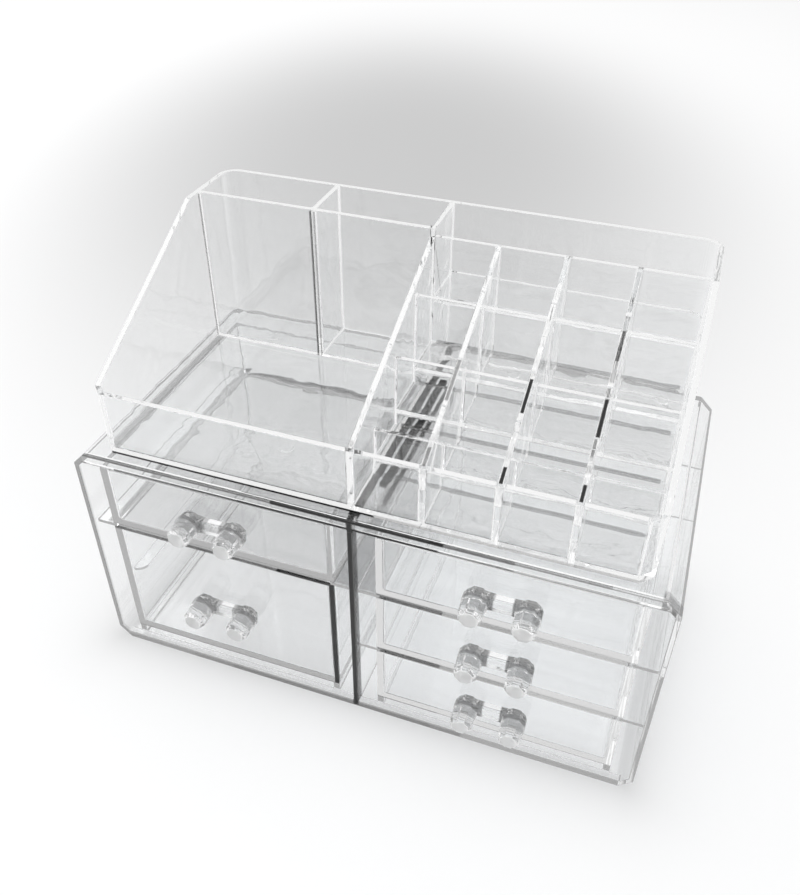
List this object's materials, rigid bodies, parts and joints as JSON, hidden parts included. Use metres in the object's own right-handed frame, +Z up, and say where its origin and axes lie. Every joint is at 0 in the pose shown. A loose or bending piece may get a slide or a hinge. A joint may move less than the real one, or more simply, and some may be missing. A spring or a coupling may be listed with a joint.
{
  "type": "cosmetics drawer organizer",
  "caption": "Clear plastic desk organizer: bevelled drawer case with paired-knob pulls and a lift-off tray of open compartments and stepped lipstick slots.",
  "frame": {"origin": "centre of the overall box at the base plane", "axes": "+X across the front to the right as a user sees it, drawers open towards -Y, +Z up"},
  "size_m": [0.24, 0.1374, 0.1827],
  "materials": {
    "clear_case": "polished clear acrylic",
    "clear_drawer": "polished clear acrylic",
    "clear_handle": "polished clear acrylic, faceted",
    "clear_tray": "polished clear acrylic"
  },
  "bodies": {
    "case": {"case_shell": "clear_case", "case_back": "clear_case", "centre_divider": "clear_case", "front_rim": "clear_case", "left_wall_ledge": "clear_case", "divider_left_ledge": "clear_case", "divider_lower_ledge": "clear_case", "right_wall_lower_ledge": "clear_case", "divider_upper_ledge": "clear_case", "right_wall_upper_ledge": "clear_case", "left_outer_runner": "clear_case", "left_inner_runner": "clear_case", "right_outer_runner": "clear_case", "right_inner_runner": "clear_case", "spare_ledge": "clear_case"},
    "left_lower_drawer": {"left_lower_drawer": "clear_drawer", "left_lower_handle": "clear_handle"},
    "left_upper_drawer": {"left_upper_drawer": "clear_drawer", "left_upper_handle": "clear_handle"},
    "right_lower_drawer": {"right_lower_drawer": "clear_drawer", "right_lower_handle": "clear_handle"},
    "right_middle_drawer": {"right_middle_drawer": "clear_drawer", "right_middle_handle": "clear_handle"},
    "right_upper_drawer": {"right_upper_drawer": "clear_drawer", "right_upper_handle": "clear_handle"},
    "tray": {"tray_shell": "clear_tray", "block_side_wall": "clear_tray", "rear_partition": "clear_tray", "rear_divider": "clear_tray", "row_partition_1": "clear_tray", "row_partition_2": "clear_tray", "row_partition_3": "clear_tray", "row_partition_4": "clear_tray", "row_floor_2": "clear_tray", "row_floor_3": "clear_tray", "row_floor_4": "clear_tray", "rear_floor": "clear_tray", "column_divider_1": "clear_tray", "column_divider_2": "clear_tray", "column_divider_3": "clear_tray"}
  },
  "joints": [
    {"name": "left_lower_slide", "type": "slide", "parent": "case", "child": "left_lower_drawer", "axis": [0, -1, 0], "range_m": [0, 0.105]},
    {"name": "left_upper_slide", "type": "slide", "parent": "case", "child": "left_upper_drawer", "axis": [0, -1, 0], "range_m": [0, 0.105]},
    {"name": "right_lower_slide", "type": "slide", "parent": "case", "child": "right_lower_drawer", "axis": [0, -1, 0], "range_m": [0, 0.105]},
    {"name": "right_middle_slide", "type": "slide", "parent": "case", "child": "right_middle_drawer", "axis": [0, -1, 0], "range_m": [0, 0.105]},
    {"name": "right_upper_slide", "type": "slide", "parent": "case", "child": "right_upper_drawer", "axis": [0, -1, 0], "range_m": [0, 0.105]},
    {"name": "tray_lift", "type": "slide", "parent": "case", "child": "tray", "axis": [0, 0, 1], "range_m": [0, 0.06]}
  ]
}
